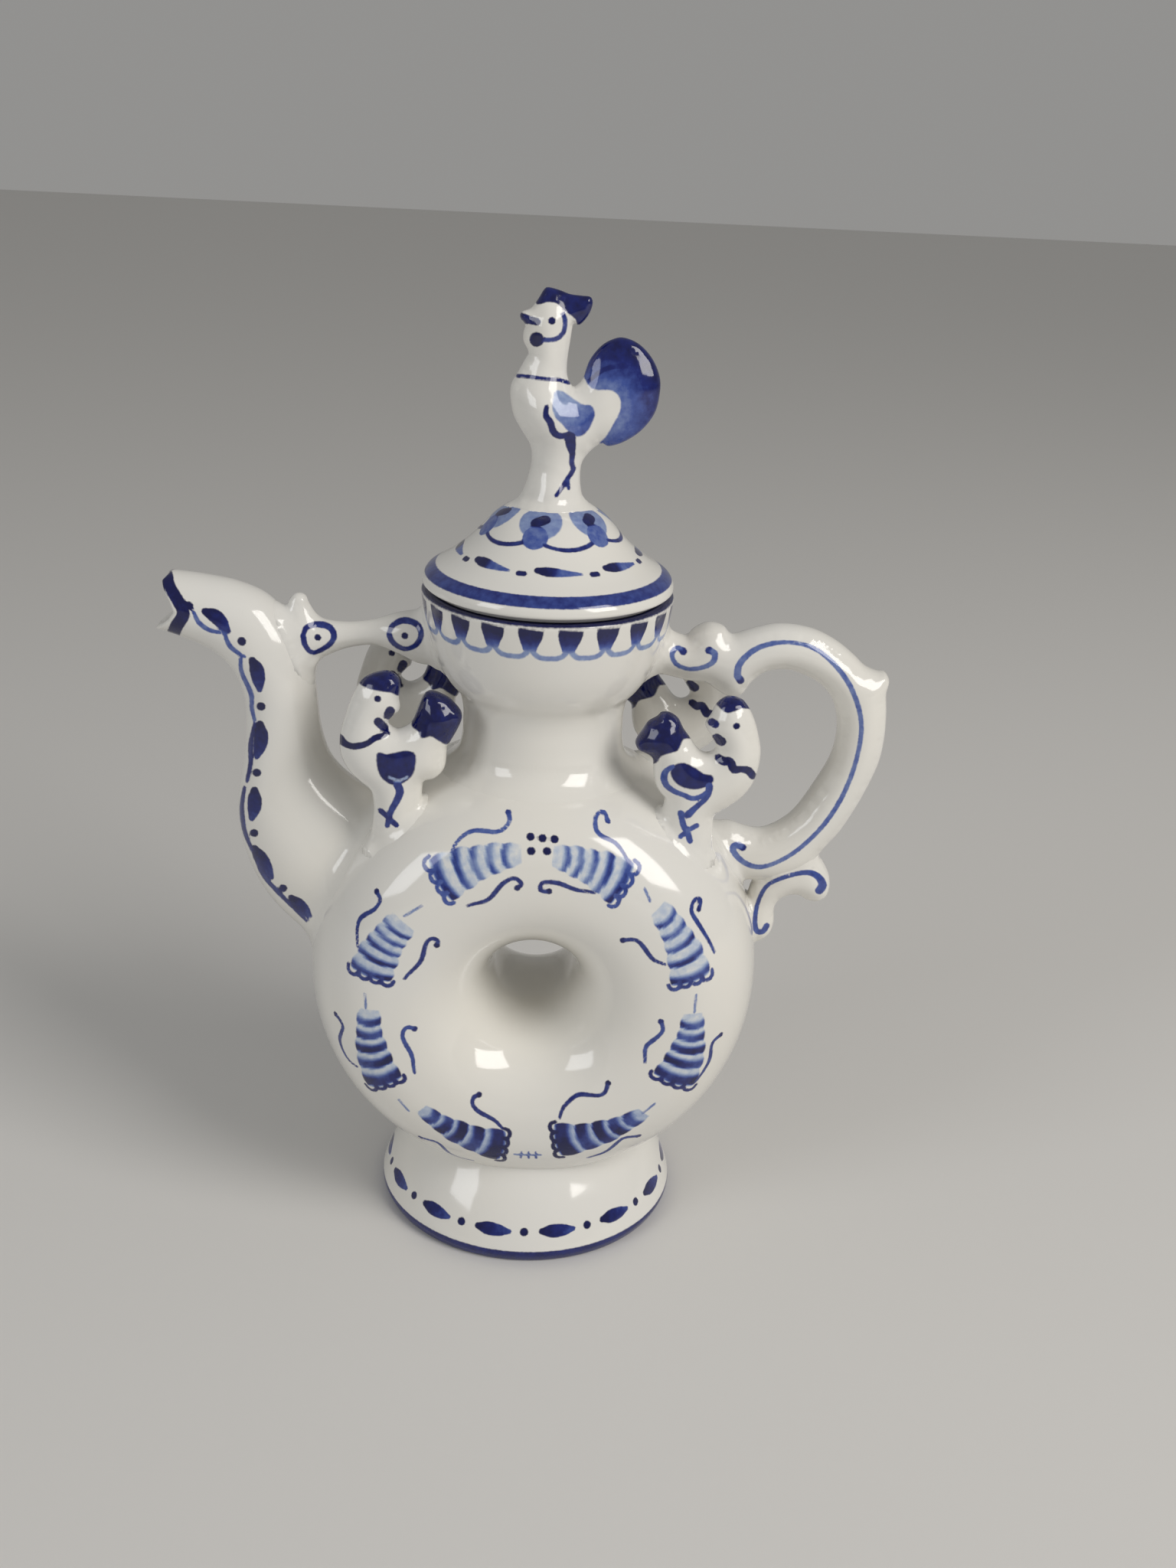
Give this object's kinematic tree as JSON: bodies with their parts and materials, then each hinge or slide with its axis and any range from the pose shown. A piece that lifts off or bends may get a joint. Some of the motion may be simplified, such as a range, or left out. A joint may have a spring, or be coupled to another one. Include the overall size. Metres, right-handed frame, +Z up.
{
  "type": "ring-bodied teapot",
  "caption": "Painted porcelain teapot with a ring-shaped body on a foot, beaked spout, scroll handle, small birds on its shoulders and a lift-off lid with a rooster knob.",
  "frame": {"origin": "on the table under the middle of the pot's length, at the level of the foot's standing ring", "axes": "+Z up, spout towards -X, handle towards +X, front towards -Y"},
  "size_m": [0.1527, 0.0674, 0.2039],
  "materials": {
    "glazed_porcelain": "glossy clear glaze over white porcelain with cobalt blue brush painting"
  },
  "bodies": {
    "pot": {"body_front": "glazed_porcelain", "body_back": "glazed_porcelain", "foot": "glazed_porcelain", "neck_collar": "glazed_porcelain", "spout": "glazed_porcelain", "spout_bridge": "glazed_porcelain", "handle": "glazed_porcelain", "handle_bracket": "glazed_porcelain", "bird_front_left": "glazed_porcelain", "bird_front_right": "glazed_porcelain", "bird_back_left": "glazed_porcelain", "bird_back_right": "glazed_porcelain"},
    "lid": {"lid": "glazed_porcelain", "rooster": "glazed_porcelain"}
  },
  "joints": [
    {"name": "lid_lift", "type": "slide", "parent": "pot", "child": "lid", "axis": [0, 0, 1], "range_m": [0, 0.06]}
  ]
}
